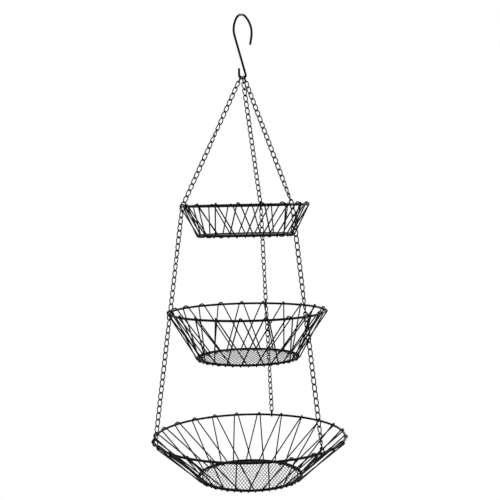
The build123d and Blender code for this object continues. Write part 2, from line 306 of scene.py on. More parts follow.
class BasketStage(bpy.types.PropertyGroup):
    """Floor, lights and camera."""

    floor_drop: bpy.props.FloatProperty(
        name="Floor drop", description="Height of the lowest basket over the floor", default=0.3, min=0.0,
        unit="LENGTH", subtype="DISTANCE")
    floor_colour: bpy.props.FloatVectorProperty(
        name="Floor colour", description="Colour of the pale floor", size=3, subtype="COLOR",
        default=(0.9, 0.9, 0.9), min=0, max=1)
    sky_strength: bpy.props.FloatProperty(
        name="Room light", description="Level of the even light from all round", default=0.4, min=0)
    key_power: bpy.props.FloatProperty(
        name="Key light", description="Power of the main soft light", default=24, min=0, unit="POWER")
    fill_power: bpy.props.FloatProperty(
        name="Fill light", description="Power of each of the lights from the right and from behind",
        default=8, min=0, unit="POWER")
    lens: bpy.props.FloatProperty(
        name="Lens", description="Focal length on a 36 mm sensor", default=63.694, min=1,
        subtype="DISTANCE_CAMERA")
    camera_place: bpy.props.FloatVectorProperty(
        name="Camera place", description="Where the camera stands", size=3, subtype="TRANSLATION",
        default=(0.007024, -1.518785, -0.332635))
    camera_tilt: bpy.props.FloatProperty(
        name="Camera tilt", description="How far the camera looks down", default=math.radians(2.4787),
        subtype="ANGLE")
    camera_roll: bpy.props.FloatProperty(
        name="Camera roll", description="How far the camera is turned clockwise",
        default=math.radians(1.1283), subtype="ANGLE")


def unit(vectors):
    """Vectors divided by their lengths."""
    return vectors / np.linalg.norm(vectors, axis=-1, keepdims=True)


def level(azimuth):
    """Level unit vectors at azimuths in degrees: the cosine, the sine and nothing upwards."""
    angle = np.radians(np.asarray(azimuth, float))
    return np.stack([np.cos(angle), np.sin(angle), np.zeros_like(angle)], -1)


def polar(azimuth, radius, height, sideways=0.0):
    """Points at a radius and height over azimuths, moved sideways round the axis."""
    return level(azimuth) * radius + level(np.asarray(azimuth) + 90) * sideways + np.array([0, 0, height])


def rounded(corners, radii, steps):
    """Centre lines, one per row of corners, with each corner rounded. An arc leaves its runs at the radius
    times the tangent of half the turn from the corner, and each of its points is the arc's centre plus the
    radius times the cosine of the angle towards the arc's start, and the sine along the run."""
    radii = np.broadcast_to(np.asarray(radii, float), corners.shape[:1] + (corners.shape[1] - 2,))
    back = unit(corners[:, :-2] - corners[:, 1:-1])
    onward = unit(corners[:, 2:] - corners[:, 1:-1])
    turn = np.pi - np.arccos(np.clip((back * onward).sum(-1), -1, 1))
    start = corners[:, 1:-1] + back * (radii * np.tan(turn / 2))[..., None]
    centre = corners[:, 1:-1] + unit(back + onward) * (radii / np.cos(turn / 2))[..., None]
    angle = turn[..., None, None] * np.linspace(0, 1, steps + 1)[:, None]
    arcs = centre[:, :, None] + radii[..., None, None] * (
        np.cos(angle) * unit(start - centre)[:, :, None] - np.sin(angle) * back[:, :, None])
    return np.concatenate([corners[:, :1], arcs.reshape(len(corners), -1, 3), corners[:, -1:]], 1)


def closed_loop(corners, radii, steps):
    """A link's closed centre line: one rounded half from top to bottom, then the same half turned half round
    the long axis and walked back up."""
    half = rounded(np.array([corners], float), radii, steps)[0]
    half = half[np.append(True, np.linalg.norm(np.diff(half, axis=0), axis=1) > SAME_POINT)]
    return np.concatenate([half[:-1], (half * [-1, -1, 1])[:0:-1]])


def with_seam(loop, at, width):
    """A loop and its thickness factors with a narrow cut at one point, where the wire's two ends meet: two
    more points stand half a width to each side, and the thickness dips between them."""
    along = unit(loop[at + 1] - loop[at - 1]) * width / 2
    loop = np.insert(loop, [at, at + 1], [loop[at] - along, loop[at] + along], axis=0)
    factors = np.ones(len(loop))
    factors[at + 1] = SEAM_SHARE
    return loop, factors


def with_ends(lines, radius, flatness=1.0):
    """Open centre lines with rings that close both ends. A ring stands beyond the end by the radius times the
    cosine of its angle, times the flatness, and its own radius is the radius times the sine."""
    angles = np.radians(END_RING_ANGLES)
    out = (radius * flatness * np.cos(angles))[:, None]
    head = lines[:, :1] + unit(lines[:, :1] - lines[:, 1:2]) * out
    tail = lines[:, -1:] + unit(lines[:, -1:] - lines[:, -2:-1]) * out[::-1]
    rings = radius * np.sin(angles)
    sizes = np.concatenate([rings, np.full(lines.shape[1], radius), rings[::-1]])
    return np.concatenate([head, lines, tail], 1), sizes


def tubes(lines, radius, across, sides, closed):
    """Round wires as one surface. At each point of a centre line, side is the travel direction crossed with
    the across vector, and the vertices stand at the radius round the line, the cosine of the angle along
    side and the sine along travel crossed with side. U counts the wires plus the share of the wire's length,
    and V is the share of the way round."""
    wires, points = lines.shape[:2]
    if closed:
        onward = unit(np.roll(lines, -1, 1) - lines)
        back = np.roll(onward, 1, 1)
    else:
        runs = unit(np.diff(lines, axis=1))
        onward = np.concatenate([runs, runs[:, -1:]], 1)
        back = np.concatenate([runs[:, :1], runs], 1)
    travel = unit(onward + back)
    side = unit(np.cross(travel, across))
    up = np.cross(travel, side)
    angle = np.linspace(0, 2 * np.pi, sides, endpoint=False)[:, None]
    size = np.broadcast_to(np.asarray(radius, float), (wires, points))[:, :, None, None]
    verts = lines[:, :, None] + size * (np.cos(angle) * side[:, :, None] + np.sin(angle) * up[:, :, None])

    spans = points if closed else points - 1
    wire, ring, spoke = np.meshgrid(np.arange(wires), np.arange(spans), np.arange(sides), indexing="ij")
    next_ring, next_spoke = (ring + 1) % points, (spoke + 1) % sides
    quads = np.stack([(wire * points + at_ring) * sides + at_spoke for at_ring, at_spoke in (
        (ring, spoke), (ring, next_spoke), (next_ring, next_spoke), (next_ring, spoke))], -1)
    ends = np.concatenate([lines, lines[:, :1]], 1) if closed else lines
    share = np.cumsum(np.linalg.norm(np.diff(ends, axis=1), axis=-1), axis=1)
    share = np.concatenate([np.zeros((wires, 1)), share / share[:, -1:]], 1)
    u = np.arange(wires)[:, None] + U_MARGIN + (1 - 2 * U_MARGIN) * share
    uv = np.stack([np.stack([u[wire, ring + onwards], (spoke + turned) / sides], -1)
                   for onwards, turned in ((0, 0), (0, 1), (1, 1), (1, 0))], -2)
    quads, uv = quads.reshape(-1, 4), uv.reshape(-1, 4, 2)

    if not closed:
        spoke = np.arange(sides // 2 - 1)
        cap = np.stack([spoke, spoke + 1, sides - 2 - spoke, sides - 1 - spoke], -1)
        base = np.arange(wires)[:, None, None] * points * sides
        caps = np.concatenate([(base + cap[:, ::-1]).reshape(-1, 4),
                               (base + (points - 1) * sides + cap).reshape(-1, 4)])
        cap_uv = np.stack([u.ravel()[caps // sides], caps % sides / sides], -1)
        quads, uv = np.concatenate([quads, caps]), np.concatenate([uv, cap_uv])
    return verts.reshape(-1, 3), quads, uv


def joined(surfaces):
    """Several surfaces as one, each one's faces counted on from the last one's vertices."""
    starts = np.cumsum([0] + [len(verts) for verts, quads, uv in surfaces[:-1]])
    return (np.concatenate([verts for verts, quads, uv in surfaces]),
            np.concatenate([quads + start for start, (verts, quads, uv) in zip(starts, surfaces)]),
            np.concatenate([uv for verts, quads, uv in surfaces]))


def add_piece(name, surface, material, node):
    """A closed smooth mesh that stands for a CAD node and rides on the node's body."""
    verts, quads, uv = surface
    mesh = bpy.data.meshes.new(name)
    mesh.vertices.add(len(verts))
    mesh.vertices.foreach_set("co", verts.ravel())
    mesh.loops.add(quads.size)
    mesh.loops.foreach_set("vertex_index", quads.ravel())
    mesh.polygons.add(len(quads))
    mesh.polygons.foreach_set("loop_start", np.arange(0, quads.size, 4))
    mesh.uv_layers.new(name="Wire").data.foreach_set("uv", uv.ravel())
    mesh.update(calc_edges=True)
    if mesh.validate():
        raise RuntimeError(name + " has broken faces")
    mesh.shade_smooth()
    mesh.materials.append(material)
    piece = bpy.data.objects.new(name, mesh)
    bpy.context.scene.collection.objects.link(piece)
    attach(piece, next(body for body, nodes in behaviour["bodies"].items() if node in nodes))
    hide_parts(node)


def new_group(name, inputs, outputs):
    """An empty shader group with named sockets."""
    group = bpy.data.node_groups.new(name, "ShaderNodeTree")
    for direction, sockets in (("INPUT", inputs), ("OUTPUT", outputs)):
        for label, kind, value in sockets:
            socket = group.interface.new_socket(label, in_out=direction, socket_type=kind)
            if value is not None:
                socket.default_value = value
    return group, group.nodes.new("NodeGroupInput"), group.nodes.new("NodeGroupOutput")


def add_math(tree, operation, first, second=None):
    """A Math node on sockets or numbers."""
    node = tree.nodes.new("ShaderNodeMath")
    node.operation = operation
    for socket, value in zip(node.inputs, (first, second)):
        if isinstance(value, bpy.types.NodeSocket):
            tree.links.new(value, socket)
        elif value is not None:
            socket.default_value = value
    return node.outputs[0]


def add_ramp(tree, value, low, high):
    """A smooth step from 0 at low to 1 at high."""
    node = tree.nodes.new("ShaderNodeMapRange")
    node.interpolation_type = "SMOOTHSTEP"
    tree.links.new(value, node.inputs["Value"])
    node.inputs["From Min"].default_value = low
    node.inputs["From Max"].default_value = high
    return node.outputs["Result"]


def seen_directly(tree):
    """1 for rays from the camera and for those that metal and glass throw back or let through, and 0 for
    the rays that carry light."""
    path = tree.nodes.new("ShaderNodeLightPath")
    either = add_math(tree, "MAXIMUM", path.outputs["Is Camera Ray"], path.outputs["Is Glossy Ray"])
    return add_math(tree, "MAXIMUM", either, path.outputs["Is Transmission Ray"])


def coat_grain_group():
    """Pebbled coat: a fine noise gives the bump, and a broad one the drift of tone and roughness."""
    name = "Coat grain"
    if name in bpy.data.node_groups:
        return bpy.data.node_groups[name]
    group, inward, outward = new_group(
        name,
        (("Fineness", "NodeSocketFloat", 1400.0), ("Depth", "NodeSocketFloat", 0.2)),
        (("Tone", "NodeSocketFloat", None), ("Roughness", "NodeSocketFloat", None),
         ("Normal", "NodeSocketVector", None)))
    links = group.links
    place = group.nodes.new("ShaderNodeTexCoord")
    fine = group.nodes.new("ShaderNodeTexNoise")
    broad = group.nodes.new("ShaderNodeTexNoise")
    bump = group.nodes.new("ShaderNodeBump")
    fine.inputs["Detail"].default_value = 3
    broad.inputs["Scale"].default_value = DRIFT_FINENESS
    broad.inputs["Detail"].default_value = 4
    links.new(place.outputs["Object"], fine.inputs["Vector"])
    links.new(place.outputs["Object"], broad.inputs["Vector"])
    links.new(inward.outputs["Fineness"], fine.inputs["Scale"])
    links.new(inward.outputs["Depth"], bump.inputs["Strength"])
    links.new(fine.outputs["Fac"], bump.inputs["Height"])
    bump.inputs["Distance"].default_value = GRAIN_HEIGHT
    links.new(add_ramp(group, broad.outputs["Fac"], *DRIFT_RANGE), outward.inputs["Tone"])
    drift = add_math(group, "SUBTRACT", broad.outputs["Fac"], NOISE_MEAN)
    drift = add_math(group, "MULTIPLY", drift, DRIFT_ROUGHNESS)
    grain = add_math(group, "MULTIPLY", fine.outputs["Fac"], GRAIN_ROUGHNESS)
    links.new(add_math(group, "ADD", drift, grain), outward.inputs["Roughness"])
    links.new(bump.outputs["Normal"], outward.inputs["Normal"])
    return group


def rub_marks_group():
    """Rubbed places: the mask is 1 where the way to the nearest rubbed point is short, and noise frays it."""
    name = "Rub marks"
    if name in bpy.data.node_groups:
        return bpy.data.node_groups[name]
    group, inward, outward = new_group(
        name,
        (("Distance", "NodeSocketFloat", 1.0), ("Reach", "NodeSocketFloat", 0.1),
         ("Fineness", "NodeSocketFloat", RUB_FINENESS)),
        (("Mask", "NodeSocketFloat", None),))
    links = group.links
    place = group.nodes.new("ShaderNodeTexCoord")
    fray = group.nodes.new("ShaderNodeTexNoise")
    fray.inputs["Detail"].default_value = 5
    links.new(place.outputs["Object"], fray.inputs["Vector"])
    links.new(inward.outputs["Fineness"], fray.inputs["Scale"])
    share = add_math(group, "DIVIDE", inward.outputs["Distance"], inward.outputs["Reach"])
    frayed = add_math(group, "ADD", share, add_math(group, "SUBTRACT", fray.outputs["Fac"], NOISE_MEAN))
    links.new(add_math(group, "SUBTRACT", 1.0, add_ramp(group, frayed, *RUB_EDGE)), outward.inputs["Mask"])
    return group


def coated_metal(name, colour, roughness, rub_distance=None, rub_reach=None):
    """A black coat on steel. rub_distance builds the way to the nearest rubbed point in the material's node
    tree, and the rubbed steel shows within the reach."""
    if name in bpy.data.materials:
        return bpy.data.materials[name]
    finish = bpy.context.scene.basket_finish
    material = bpy.data.materials.new(name)
    material.use_nodes = True
    tree = material.node_tree
    shader = tree.nodes["Principled BSDF"]
    shader.inputs["Specular IOR Level"].default_value = COAT_SPECULAR
    grain = tree.nodes.new("ShaderNodeGroup")
    grain.node_tree = coat_grain_group()
    grain.inputs["Fineness"].default_value = 1 / finish.grain_size
    grain.inputs["Depth"].default_value = finish.grain_depth
    tone = tree.nodes.new("ShaderNodeMix")
    tone.data_type = "RGBA"
    for socket, share in zip(("A", "B"), TONE_SHARES):
        tone.inputs[socket].default_value = (*[share * value for value in colour], 1)
    tree.links.new(grain.outputs["Tone"], tone.inputs["Factor"])
    rough = add_math(tree, "ADD", grain.outputs["Roughness"], roughness)
    shade = tone.outputs["Result"]
    if rub_distance:
        rub = tree.nodes.new("ShaderNodeGroup")
        rub.node_tree = rub_marks_group()
        rub.inputs["Reach"].default_value = rub_reach
        tree.links.new(rub_distance(tree), rub.inputs["Distance"])
        bare = tree.nodes.new("ShaderNodeMix")
        bare.data_type = "RGBA"
        tree.links.new(rub.outputs["Mask"], bare.inputs["Factor"])
        tree.links.new(shade, bare.inputs["A"])
        bare.inputs["B"].default_value = (*finish.rub_colour, 1)
        shade = bare.outputs["Result"]
        tree.links.new(rub.outputs["Mask"], shader.inputs["Metallic"])
    tree.links.new(shade, shader.inputs["Base Color"])
    tree.links.new(rough, shader.inputs["Roughness"])
    tree.links.new(grain.outputs["Normal"], shader.inputs["Normal"])
    return material


def link_end_distance(tree):
    """Way from a link's inner end bends in shares of its loop. The ends are at none and half of the loop, so
    it is how far U is from the nearest half, plus how far V has turned from the inner side."""
    place = tree.nodes.new("ShaderNodeUVMap")
    place.uv_map = "Wire"
    parts = tree.nodes.new("ShaderNodeSeparateXYZ")
    tree.links.new(place.outputs["UV"], parts.inputs[0])
    along = add_math(tree, "PINGPONG", add_math(tree, "FRACT", parts.outputs["X"]), 1 / 4)
    turned = add_math(tree, "PINGPONG", parts.outputs["Y"], 1 / 2)
    return add_math(tree, "ADD", along, add_math(tree, "MULTIPLY", turned, TURN_SHARE))


def distance_to(tree, spot):
    """Way from a point of the surface to a spot, in Object coordinates."""
    place = tree.nodes.new("ShaderNodeTexCoord")
    gap = tree.nodes.new("ShaderNodeVectorMath")
    gap.operation = "DISTANCE"
    tree.links.new(place.outputs["Object"], gap.inputs[0])
    gap.inputs[1].default_value = spot
    return gap.outputs["Value"]


def hook_bend_distance(tree):
    """Way from the insides of the S-hook's two bends, the smaller of the two."""
    low_z = HOOK_BEND_Z - HOOK_BEND_RADIUS + HOOK_WIRE / 2
    return add_math(tree, "MINIMUM", distance_to(tree, (0, 0, 0)), distance_to(tree, (0, 0, low_z)))


def rim_link_distance(radius, height):
    """Builder of the way from the nearest of the three places where joining links grip a rim."""
    def build(tree):
        """The smallest of the ways to the three places."""
        first, second, third = (distance_to(tree, spot) for spot in polar(AZIMUTHS, radius, height))
        return add_math(tree, "MINIMUM", add_math(tree, "MINIMUM", first, second), third)
    return build


def hook_line(steps):
    """The S-hook's centre line from its nose to its tip. Seen from the front it is runs and arcs: on a run
    the point moves along the heading, and on an arc the heading turns evenly, so the point moves by the
    radius times the change of the heading's sine and cosine. The shank is as long as brings the lower bend
    under the crown."""
    lean, back = math.radians(HOOK_LEAN), math.radians(HOOK_BACK)
    back_reach = HOOK_CROWN_RADIUS * math.cos(back) + HOOK_BACK_RADIUS * (math.cos(lean) - math.cos(back))
    shank = (HOOK_BEND_RADIUS * math.cos(lean) + back_reach) / math.sin(lean)
    nose_runs = ((HOOK_CROWN_RADIUS, -HOOK_NOSE), (HOOK_NOSE_RADIUS, HOOK_NOSE - HOOK_NOSE_END),
                 (HOOK_NOSE_STRAIGHT, 0))
    back_runs = ((HOOK_CROWN_RADIUS, 90 - HOOK_BACK), (HOOK_BACK_RADIUS, HOOK_BACK + HOOK_LEAN), (shank, 0),
                 (HOOK_BEND_RADIUS, -180 - HOOK_LEAN), (HOOK_TIP_STRAIGHT, 0))
    halves = []
    for heading, runs in ((0, nose_runs), (180, back_runs)):
        points = [np.array([[0.0, HOOK_WIRE / 2]])]
        for size, turn in runs:
            angle = np.radians(heading + turn * np.linspace(0, 1, HOOK_ARC_STEPS * steps + 1))
            if turn:
                moves = size * np.sign(turn) * np.stack(
                    [np.sin(angle) - np.sin(angle[0]), np.cos(angle[0]) - np.cos(angle)], -1)
            else:
                moves = size * np.linspace(0, 1, steps + 1)[:, None] * [np.cos(angle[0]), np.sin(angle[0])]
            points.append(points[-1][-1] + moves[1:])
            heading += turn
        halves.append(np.concatenate(points))
    flat = np.concatenate([halves[0][:0:-1], halves[1]])
    return np.stack([flat[:, 0], np.zeros(len(flat)), flat[:, 1]], -1)[None]


def rim_joint(name, azimuth):
    """Middle and long axis of the joining link at a rim. The axis leans inwards, and the middle stands out
    beyond the rim's radius and up the axis by the rise."""
    joint = RIM_JOINTS[name]
    axis = UPWARDS * math.cos(joint.lean) - level(azimuth) * math.sin(joint.lean)
    beside_rim = polar(azimuth, BASKETS[name].rim_radius + joint.out, rim_heights[name])
    return beside_rim + joint.rise * axis, axis


def rim_hold(name, azimuth, side):
    """Middle of the chain's end wire in the upper or lower bend of a rim's joining link, side 1 or -1."""
    centre, axis = rim_joint(name, azimuth)
    return centre + side * (RIM_JOINTS[name].half - JOINT_HOLD) * axis


def hook_seat(bend_side, low_end):
    """Middle of the top wire of an end link on the S-hook's lower bend. The spot on the bend's centre line is
    off its middle by the radius times the sine of the spread angle sideways and its cosine down. The seat is
    off the spot by the two wires' reach, square to the bend and away from the chain's low end."""
    angle = math.radians(bend_side * HOOK_SPREAD)
    spot = HOOK_BEND_RADIUS * np.array([math.sin(angle), 0, -math.cos(angle)]) + [0, 0, HOOK_BEND_Z]
    along = np.array([math.cos(angle), 0, math.sin(angle)])
    way = spot - low_end
    return spot + HOOK_REACH * unit(way - along * (way @ along))


def chain_sections():
    """Each chain section's azimuth, the middles of its two end wires and its count of links. An upper section
    hangs below the end link's seat by the link's arm, and the others run between the rims' joining links."""
    sections = {}
    for side, (azimuth, bend_side) in CHAINS.items():
        low_end = rim_hold("top", azimuth, 1)
        seat = hook_seat(bend_side, low_end)
        ends = {"upper": (seat - END_LINK_ARM * unit(seat - low_end), low_end),
                "middle": (rim_hold("top", azimuth, -1), rim_hold("middle", azimuth, 1)),
                "lower": (rim_hold("middle", azimuth, -1), rim_hold("bottom", azimuth, 1))}
        for section, count in SECTION_LINKS.items():
            sections[f"{side}_chain_{section}"] = (azimuth, *ends[section], count)
    return sections


def nearest_face(angle):
    """The half turn of an angle nearest the front, and nearer still by the slant at which a link hooks on."""
    turn = (angle - FRONT + 90) % 180 - 90
    return FRONT + math.copysign(max(abs(turn) - HOOK_ON_SLANT, 0), turn)


def placed(loop, centres, axis, facing):
    """Copies of a link's loop: its long axis on the axis, and its flat side turned to face the azimuths.
    Returns the loops and each one's flat direction."""
    axis = np.broadcast_to(axis, centres.shape)
    side = unit(np.cross(level(facing), axis))
    flat = np.cross(axis, side)
    return centres[:, None] + loop @ np.stack([side, flat, axis], 1), flat[:, None]


def side_wire_lines(name, steps):
    """Centre lines of a basket's side wires. Each goes from its tip just past the base ring, under the ring,
    up the inside, over the rim in a narrow loop and down the outside, and on under the floor. The two feet
    are turned round the axis by the leg share of the pitch and sink into the ring as welds do. Each foot's
    bend keeps the tangent length of an upright wire's."""
    rim_radius, ring_radius, depth, count, first_loop, leg_share = BASKETS[name]
    rim_z = rim_heights[name]
    slope = math.atan2(rim_radius - ring_radius, depth)
    sine, cosine, tangent = math.sin(slope), math.cos(slope), math.tan(slope)
    rim_off = (RIM_WIRE + SIDE_WIRE) / 2 + SNUG_GAP
    ring_off = (RING_WIRE + SIDE_WIRE) / 2 - WELD_SINK
    low_z = rim_z - depth - ring_off
    azimuth = FRONT + first_loop + np.arange(count) * 360 / count
    shift = leg_share * 360 / count
    inner_foot = polar(azimuth - shift, ring_radius - ring_off * (cosine + (1 + sine) * tangent), low_z)
    outer_foot = polar(azimuth + shift, ring_radius + ring_off * (cosine - (1 - sine) * tangent), low_z)
    inner_top = polar(azimuth, rim_radius - rim_off * cosine + LOOP_RISE * sine,
                      rim_z + rim_off * sine + LOOP_RISE * cosine, -LOOP_HALF_WIDTH)
    outer_top = polar(azimuth, rim_radius + rim_off * cosine + LOOP_RISE * sine,
                      rim_z - rim_off * sine + LOOP_RISE * cosine, LOOP_HALF_WIDTH)
    inner_tip = polar(azimuth - shift, ring_radius + WIRE_TIP_REACH, low_z)
    outer_tip = polar(azimuth + shift, ring_radius - FLOOR_TIP_REACH, low_z)
    corners = np.stack([inner_tip, inner_foot, inner_top, outer_top, outer_foot, outer_tip], 1)
    into, out = corners[:, 1:-1] - corners[:, :-2], corners[:, 2:] - corners[:, 1:-1]
    turn = np.arccos((unit(into) * unit(out)).sum(-1))
    radii = np.full(turn.shape, LOOP_RADIUS)
    radii[:, 0] = ring_off * math.tan(math.pi / 4 + slope / 2) / np.tan(turn[:, 0] / 2)
    radii[:, 3] = ring_off * math.tan(math.pi / 4 - slope / 2) / np.tan(turn[:, 3] / 2)
    return rounded(corners, radii, steps), level(azimuth + 90)[:, None]


def woven_floor(name, shape):
    """Fine wires woven over and under, inside a hem wire. A wire runs straight across the disc. Its height
    is half a diameter times the cosine of its place between the wires it crosses, with neighbours a half
    wave apart and the two sets in opposite phase. The sets lean to the left and to the right, so their gaps
    are long diamonds. The weave lies on the feet, which reach in under it."""
    feet_z = rim_heights[name] - BASKETS[name].depth - RING_WIRE / 2 + WELD_SINK
    hem = shape.net_wire * HEM_SHARE
    radius = BASKETS[name].ring_radius - RING_WIRE / 2 - SIDE_WIRE - 2 * hem
    middle_z = feet_z + shape.net_wire * WEAVE_SHARE
    angle = math.degrees(shape.net_angle)
    surfaces = []
    for sign, run, cross in ((1, angle, -angle), (-1, -angle, angle)):
        count = 2 * int(radius / shape.net_pitch)
        number = np.arange(count) - count // 2
        offset = (number + 0.5) * shape.net_pitch
        keep = np.abs(offset) < radius - 2 * shape.net_wire
        number, offset = number[keep], offset[keep]
        reach = np.sqrt((radius - hem / 2) ** 2 - offset ** 2)
        along = reach[:, None] * np.linspace(-1, 1, NET_STEPS * count + 1)
        lines = along[..., None] * level(run) + offset[:, None, None] * level(run + 90)
        place = (lines @ level(cross + 90)) / shape.net_pitch - 0.5
        lines[..., 2] = middle_z + sign * shape.net_wire / 2 * np.cos(np.pi * (place + number[:, None]))
        lines, sizes = with_ends(lines, shape.net_wire / 2, NET_END_SHARE)
        surfaces.append(tubes(lines, sizes, UPWARDS, NET_SIDES, False))
    azimuth = np.linspace(0, 360, shape.hoop_steps, endpoint=False)
    hem_line = polar(azimuth, radius, middle_z)[None]
    surfaces.append(tubes(hem_line, hem, UPWARDS, HEM_SIDES, True))
    return joined(surfaces)


def pale_floor(stage):
    """Matte floor that fades to white away from the middle. Only what looks at it sees the white, so the
    floor keeps the basket's shadow and lights the basket as a plain floor does."""
    material = bpy.data.materials.new("Pale floor")
    material.use_nodes = True
    tree = material.node_tree
    matte = tree.nodes["Principled BSDF"]
    matte.inputs["Base Color"].default_value = (*stage.floor_colour, 1)
    matte.inputs["Roughness"].default_value = FLOOR_ROUGHNESS
    white = tree.nodes.new("ShaderNodeEmission")
    place = tree.nodes.new("ShaderNodeTexCoord")
    flat = tree.nodes.new("ShaderNodeVectorMath")
    flat.operation = "MULTIPLY"
    flat.inputs[1].default_value = (1, 1, 0)
    far = tree.nodes.new("ShaderNodeVectorMath")
    far.operation = "LENGTH"
    mix = tree.nodes.new("ShaderNodeMixShader")
    tree.links.new(place.outputs["Object"], flat.inputs[0])
    tree.links.new(flat.outputs[0], far.inputs[0])
    ramp = add_ramp(tree, far.outputs["Value"], *FLOOR_FADE)
    tree.links.new(add_math(tree, "MULTIPLY", ramp, seen_directly(tree)), mix.inputs[0])
    tree.links.new(matte.outputs[0], mix.inputs[1])
    tree.links.new(white.outputs[0], mix.inputs[2])
    tree.links.new(mix.outputs[0], tree.nodes["Material Output"].inputs["Surface"])
    return material


def add_floor(stage):
    """A round floor below the lowest basket."""
    azimuth = np.linspace(0, 360, FLOOR_CORNERS, endpoint=False)
    ring = polar(azimuth, FLOOR_RADIUS, cad_box[0][2] - stage.floor_drop)
    mesh = bpy.data.meshes.new("floor")
    mesh.from_pydata(ring.tolist(), [], [list(range(FLOOR_CORNERS))])
    mesh.materials.append(pale_floor(stage))
    floor = bpy.data.objects.new("floor", mesh)
    bpy.context.scene.collection.objects.link(floor)


def add_surroundings(stage):
    """A room that looks white and gives an even light at a level of its own."""
    world = bpy.data.worlds.new("Studio")
    world.use_nodes = True
    bpy.context.scene.world = world
    tree = world.node_tree
    room = tree.nodes["Background"]
    room.inputs["Color"].default_value = (1, 1, 1, 1)
    strength = tree.nodes.new("ShaderNodeMix")
    strength.inputs["A"].default_value = stage.sky_strength
    strength.inputs["B"].default_value = 1.0
    tree.links.new(seen_directly(tree), strength.inputs["Factor"])
    tree.links.new(strength.outputs["Result"], room.inputs["Strength"])


def add_at(thing, right, up, backward, place):
    """Adds a lamp or a camera at a place, with its X, Y and Z axes to the right, up and backward."""
    columns = np.column_stack([right, up, backward, place])
    thing.matrix_world = Matrix([*columns.tolist(), [0, 0, 0, 1]])
    bpy.context.scene.collection.objects.link(thing)


def add_lamps(stage):
    """Square soft lamps that face the basket's middle. Right is up crossed with backward."""
    aim = UPWARDS * (cad_box[0][2] + cad_box[1][2]) / 2
    for name, (place, size, power) in LAMPS.items():
        light = bpy.data.lights.new(name, "AREA")
        light.energy = getattr(stage, power)
        light.size = size
        backward = unit(np.array(place) - aim)
        right = unit(np.cross(UPWARDS, backward))
        add_at(bpy.data.objects.new(name, light), right, np.cross(backward, right), backward, place)


def add_camera(stage):
    """The camera at the photograph's viewing angle. It looks towards +Y, is tilted down in the upright plane
    by the cosine and sine of the tilt, and is rolled about its own line of sight by those of the roll."""
    camera = bpy.data.cameras.new("camera")
    camera.lens = stage.lens
    camera.sensor_width = SENSOR_WIDTH
    eye = bpy.data.objects.new("camera", camera)
    backward = np.array([0, -math.cos(stage.camera_tilt), math.sin(stage.camera_tilt)])
    up = np.array([0, math.sin(stage.camera_tilt), math.cos(stage.camera_tilt)])
    right = np.array([1, 0, 0])
    cosine, sine = math.cos(stage.camera_roll), math.sin(stage.camera_roll)
    add_at(eye, right * cosine - up * sine, right * sine + up * cosine, backward, stage.camera_place)
    bpy.context.scene.camera = eye


class BASKET_OT_hook(bpy.types.Operator):
    """Bent S-hook of round black wire with rounded ends"""

    bl_idname = "basket.hook"
    bl_label = "S-hook"

    def execute(self, context):
        shape, finish = context.scene.basket_shape, context.scene.basket_finish
        lines, sizes = with_ends(hook_line(shape.arc_steps), HOOK_WIRE / 2)
        coat = coated_metal("Hook black", finish.coat_colour, finish.coat_roughness, hook_bend_distance,
                            HOOK_RUB_REACH)
        surface = tubes(lines, sizes, REARWARDS, shape.hook_sides, False)
        add_piece("s_hook_bent_wire", surface, coat, "s_hook")
        return {"FINISHED"}


class BASKET_OT_chains(bpy.types.Operator):
    """Nine sections of twisted-link chain"""

    bl_idname = "basket.chains"
    bl_label = "Chains"

    def execute(self, context):
        shape, finish = context.scene.basket_shape, context.scene.basket_finish
        top = np.array([0, 0, LINK_HALF])
        corner = top - level(LINK_TWIST / 2) * LINK_END_WIDTH / 2
        low_corner = -top - level(-LINK_TWIST / 2) * LINK_END_WIDTH / 2
        loop = closed_loop([top, corner, [-LINK_MIDDLE_WIDTH / 2, 0, 0], low_corner, -top],
                           [LINK_END_RADIUS, LINK_SIDE_RADIUS, LINK_END_RADIUS], shape.arc_steps)
        loop, factors = with_seam(loop, int(np.argmin(loop[:, 0])), shape.seam_width)
        steel = coated_metal("Chain black", finish.chain_colour, finish.coat_roughness, link_end_distance,
                             LINK_RUB_SHARE)
        for node, (azimuth, start, end, count) in chain_sections().items():
            axis = unit(start - end)
            step = (np.linalg.norm(start - end) - 2 * LINK_HALF) / (count - 1)
            number = np.arange(count)
            centres = start - axis * (LINK_HALF + number * step)[:, None]
            hung_from = FRONT if node.endswith("upper") else azimuth
            first = nearest_face(hung_from - LINK_TWIST / 2)
            last = nearest_face(azimuth + LINK_TWIST / 2)
            facing = FRONT + (first - FRONT) * np.clip(1 - number / FACE_BLEND_LINKS, 0, None)
            facing = facing + (last - FRONT) * np.clip(1 - (count - 1 - number) / FACE_BLEND_LINKS, 0, None)
            most, fade, turn = CHAIN_TURNS.get(node, (0, 1, 0))
            facing = facing + turn * np.clip(1 - np.abs(number - most) / fade, 0, None)
            lines, flat = placed(loop, centres, axis, facing)
            surface = tubes(lines, LINK_WIRE / 2 * factors, flat, shape.link_sides, True)
            add_piece(node + "_twisted_links", surface, steel, node)
        return {"FINISHED"}


